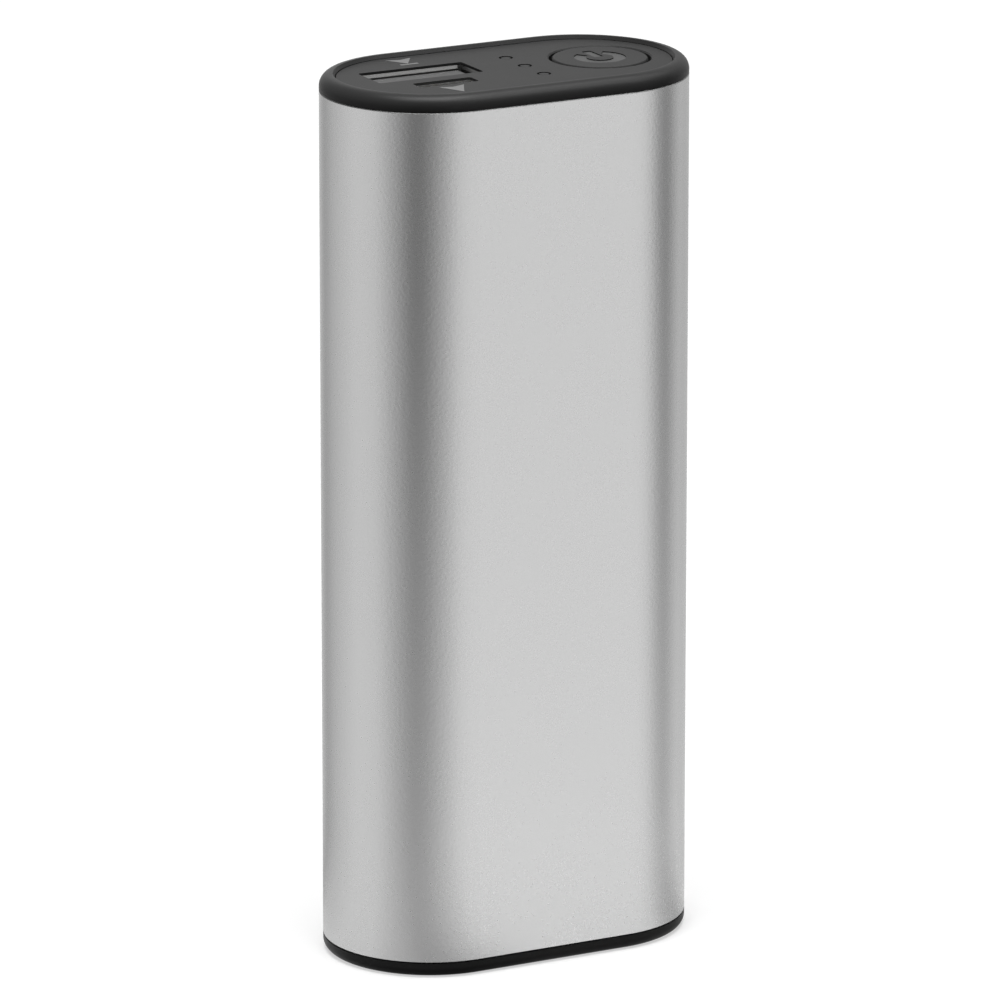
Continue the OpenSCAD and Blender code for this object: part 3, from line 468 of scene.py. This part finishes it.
def mesh_object(name, bm, *materials):
    """An object at the origin, with its place in its mesh, which is made of bm."""
    mesh = bpy.data.meshes.new(name)
    bm.to_mesh(mesh)
    bm.free()
    for material in materials:
        mesh.materials.append(material)
    made = bpy.data.objects.new(name, mesh)
    bpy.context.scene.collection.objects.link(made)
    return made


def new_piece(name, bm, body, slot, *coats):
    """A piece of the object, which moves with body. The coats are names of finishes."""
    piece = mesh_object(name, bm, *(finishes[coat] for coat in coats))
    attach(piece, body)
    return piece


def merged_copy(node):
    """A node's mesh, with its loose triangles joined."""
    bm = bmesh.new()
    bm.from_mesh(nodes[node].data)
    bmesh.ops.remove_doubles(bm, verts=bm.verts, dist=SAME_POINT)
    return bm


def oblong(bm, x0, y0, x1, y1, z):
    """Adds a flat rectangle between two corners."""
    at = Matrix.Translation((((x0 + x1) / 2) * MM, ((y0 + y1) / 2) * MM, z * MM))
    size = Matrix.Diagonal(((x1 - x0) / 2 * MM, (y1 - y0) / 2 * MM, 1.0, 1.0))
    bmesh.ops.create_grid(bm, x_segments=1, y_segments=1, size=1.0, matrix=at @ size)


def lift(bm, extruded, height):
    """Raises what an extrusion made, or sinks it by a height below 0, and turns the faces out."""
    points = [v for v in extruded["geom"] if isinstance(v, bmesh.types.BMVert)]
    bmesh.ops.translate(bm, verts=points, vec=(0, 0, height * MM))
    bmesh.ops.recalc_face_normals(bm, faces=bm.faces)


def port_mark(name, x, far_y, height, with_bar):
    """The printed arrowhead beside a port, its point towards the front face, with or without
    a bar under it. Its far edge lies at far_y."""
    half_w, notch = 1.55, 0.5
    bar_half, bar_gap, bar_w = 1.1, 0.1, 0.45
    ink_thickness = 0.02
    bm = bmesh.new()
    points = ((-half_w, 0), (0, -notch), (half_w, 0), (0, -height))
    bm.faces.new([bm.verts.new(((x + px) * MM, (far_y + py) * MM, FACE_Z * MM)) for px, py in points])
    if with_bar:
        bar_y = far_y - height - bar_gap
        oblong(bm, x - bar_half, bar_y - bar_w, x + bar_half, bar_y, FACE_Z)
    lift(bm, bmesh.ops.extrude_face_region(bm, geom=list(bm.faces), use_keep_orig=True), ink_thickness)
    new_piece(name, bm, "housing", "panel_dark", "mark_print")


def on_off_sign(bm):
    """Lays the sign on the button's face, and returns its faces: an open ring and a bar in its gap."""
    ring_in, ring_out, half_gap = 1.5, 2.9, math.radians(34)
    bar_half, bar_foot, bar_head = 0.55, 0.2, 3.3
    before = set(bm.faces)
    middle = Vector((BUTTON_X, 0, FACE_Z)) * MM
    turn = Matrix.Rotation(half_gap, 4, "Z")
    ends = [bm.verts.new(middle + turn @ Vector((0, r * MM, 0))) for r in (ring_in, ring_out)]
    edge = bm.edges.new(ends)
    bmesh.ops.spin(bm, geom=[*ends, edge], cent=middle, axis=(0, 0, 1), dvec=(0, 0, 0),
                   angle=math.tau - 2 * half_gap, steps=56, use_merge=False)
    oblong(bm, BUTTON_X - bar_half, bar_foot, BUTTON_X + bar_half, bar_head, FACE_Z)
    return [f for f in bm.faces if f not in before]


def signed_button():
    """The push button with its sign pressed into the top face."""
    sign_depth = 0.12
    bm = merged_copy("power_button")
    lid = [f for f in bm.faces if all(v.co.z > FACE_Z * MM - 10 * SAME_POINT for v in f.verts)]
    bmesh.ops.delete(bm, geom=lid, context="FACES")
    rim = [e for e in bm.edges if e.is_boundary]
    sign = on_off_sign(bm)
    for face in sign:
        face.material_index = 1
    edges = list(dict.fromkeys(e for f in sign for e in f.edges))
    outline = [e for e in edges if e.is_boundary]
    bmesh.ops.triangle_fill(bm, edges=outline + rim, use_beauty=True, normal=(0, 0, 1))
    lift(bm, bmesh.ops.extrude_face_region(bm, geom=sign + edges), -sign_depth)
    button = new_piece("signed_button", bm, "button", "button_dark", "button_dark", "sign_floor")
    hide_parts("power_button")


def snap_dome():
    """The switch's dome, a piece with a mesh of its own, which moves with the housing. The real dome
    flattens under the plunger as the button goes down.
    """
    dome = new_piece("snap_dome", merged_copy("switch_dome"), "housing", "sheet_steel", "sheet_steel")
    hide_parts("switch_dome")
    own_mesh(dome)


signed_button()
snap_dome()
port_mark("output_mark", x=-8.5, far_y=9.3, height=2.5, with_bar=True)
port_mark("charging_mark", x=-9.4, far_y=-5.3, height=3.1, with_bar=False)


def stage_piece(name, bm, material):
    """A piece of the studio, which isn't part of the object."""
    piece = mesh_object(name, bm, material)
    return piece


def pale_floor():
    """The floor, brighter to the eye than it lights, and the more so far from the object. From
    below it is clear, so that the base can be looked at."""
    radius, below_base = 3000.0, 0.01
    near, far = 200.0, 800.0
    glow_near, glow_far = 0.56, 0.86
    f = Finish("floor_pale", grey(0.42), 0.9, Specular_IOR_Level=0.0, Emission_Strength=1.0)
    f.send("Base Color", f.mix(f.seen(), grey(0.10), f.colour))
    away = (f.x * f.x + f.y * f.y) ** 0.5
    glow = f.seen() * (glow_near + (glow_far - glow_near) * away.step(near, far))
    f.send("Emission Color", f.mix(glow, grey(0.0), grey(1.0)))
    f.send("Alpha", 1 - f.node("NewGeometry", {}, {}, "Backfacing"))
    bm = bmesh.new()
    bmesh.ops.create_circle(bm, cap_ends=True, segments=96, radius=radius * MM,
                            matrix=Matrix.Translation((0, 0, -below_base * MM)))
    stage_piece("floor", bm, f.material)


# The net round the object, in millimetres: a drum, open at both ends, and a disc at its foot
NET_R = 60.0
NET_H = 240.0
NET_FOOT = 0.2
# How much of the white room shows through it, by azimuth in degrees: 0 is in front of the tube
# and 90 past its button end. The two dense places, near -45 and 70, give the tube its dark bands.
NET_CLEAR = {-180: 0.80, -150: 0.42, -130: 0.65, -100: 0.85, -80: 0.80, -50: 0.20, -40: 0.21,
             -20: 0.56, -8: 0.84, 10: 0.93, 40: 0.94, 50: 0.80, 60: 0.38, 70: 0.25, 80: 0.53,
             90: 0.70, 100: 0.58, 130: 0.58, 155: 0.75, 180: 0.80}
# The same where the net is thinned out altogether
NET_THINNED = 0.98


def drum_thinning(f):
    """How far the drum's net is thinned out: the most at its foot and in front."""
    at_foot, less_per_mm = 0.29, 0.0038
    by_side = 0.8 - 0.012 * f.y + 0.006 * f.x
    return (at_foot - less_per_mm * f.z).most(0.0) * by_side


def disc_thinning(f):
    """How far the disc's net is thinned out: a little more in front."""
    return 0.28 - 0.005 * f.y + 0.0025 * f.x


def black_net(name, bm, thinning):
    """Net that only gloss sees, so that it darkens what the metal mirrors and nothing else."""
    f = Finish(name + "_net", grey(0.0), 1.0, Specular_IOR_Level=0.0)
    azimuth = f.maths("ARCTAN2", f.x, 0 - f.y)
    stops = [((degrees + 180) / 360, share) for degrees, share in NET_CLEAR.items()]
    clear = f.node("ValToRGB", {"stops": stops}, {0: azimuth * (0.5 / math.pi) + 0.5})
    f.send("Alpha", 1 - (clear + (NET_THINNED - clear) * thinning(f)))
    net = stage_piece(name, bm, f.material)
    for ray in ("camera", "diffuse", "shadow", "transmission", "volume_scatter"):
        setattr(net, "visible_" + ray, False)


def scrim():
    bm = bmesh.new()
    bmesh.ops.create_cone(bm, cap_ends=False, segments=180, radius1=NET_R * MM, radius2=NET_R * MM,
                          depth=NET_H * MM, matrix=Matrix.Translation((0, 0, (NET_FOOT + NET_H / 2) * MM)))
    black_net("scrim", bm, drum_thinning)
    bm = bmesh.new()
    bmesh.ops.create_circle(bm, cap_ends=True, segments=180, radius=NET_R * MM,
                            matrix=Matrix.Translation((0, 0, NET_FOOT * MM)))
    black_net("scrim_floor", bm, disc_thinning)


def white_room(lighting):
    """A plain white room: full white where it is seen, and a softer level where it lights."""
    world = bpy.data.worlds.new("room")
    world.use_nodes = True
    bpy.context.scene.world = world
    room = Graph(world.node_tree)
    sky = room.tree.nodes["Background"]
    room.join(sky.inputs["Color"], grey(1.0))
    room.join(sky.inputs["Strength"], lighting + (1 - lighting) * room.seen())


def direction(azimuth, elevation):
    """Away from the object. Azimuth 0 is straight in front, and grows towards the button's end."""
    return Vector((math.sin(azimuth) * math.cos(elevation), -math.cos(azimuth) * math.cos(elevation),
                   math.sin(elevation)))


def softbox(name, azimuth, elevation, distance, size, watts):
    """A square lamp that faces the middle of the object. Its distance and size are in metres."""
    aim_height = 0.05
    away = direction(math.radians(azimuth), math.radians(elevation))
    light = bpy.data.lights.new(name, "AREA")
    light.shape, light.size, light.energy = "SQUARE", size, watts
    lamp = bpy.data.objects.new(name, light)
    lamp.rotation_mode = "QUATERNION"
    lamp.location = Vector((0, 0, aim_height)) + away * distance
    lamp.rotation_quaternion = away.to_track_quat("Z", "Y")
    bpy.context.scene.collection.objects.link(lamp)
    return lamp


def photo_camera():
    """The photograph's camera, from the fit of the object's outline in it."""
    azimuth, elevation, roll = (math.radians(angle) for angle in (-27.71, 15.45, 0.02))
    aim_height, aim_right, distance = 50.67, -0.515, 978.6
    back = direction(azimuth, elevation)
    level = Vector((math.cos(azimuth), math.sin(azimuth), 0))
    upright = back.cross(level)
    right = level * math.cos(roll) + upright * math.sin(roll)
    up = upright * math.cos(roll) - level * math.sin(roll)
    place = (Vector((0, 0, aim_height)) + right * aim_right + back * distance) * MM
    lens = bpy.data.cameras.new("camera")
    lens.sensor_width, lens.lens = 36.0, 315.55
    lens.clip_start, lens.clip_end = 0.05, 20
    camera = bpy.data.objects.new("camera", lens)
    camera.matrix_world = Matrix((
        (right.x, up.x, back.x, place.x),
        (right.y, up.y, back.y, place.y),
        (right.z, up.z, back.z, place.z),
        (0, 0, 0, 1),
    ))
    bpy.context.scene.collection.objects.link(camera)
    bpy.context.scene.camera = camera


pale_floor()
scrim()
white_room(lighting=0.12)
softbox("overhead", azimuth=-40, elevation=84, distance=0.9, size=0.55, watts=12.0)
rim_light = softbox("rim_light", azimuth=70, elevation=62, distance=0.9, size=0.75, watts=11.0)
rim_light.visible_diffuse = False
photo_camera()
bpy.context.scene.view_settings.view_transform = "Standard"
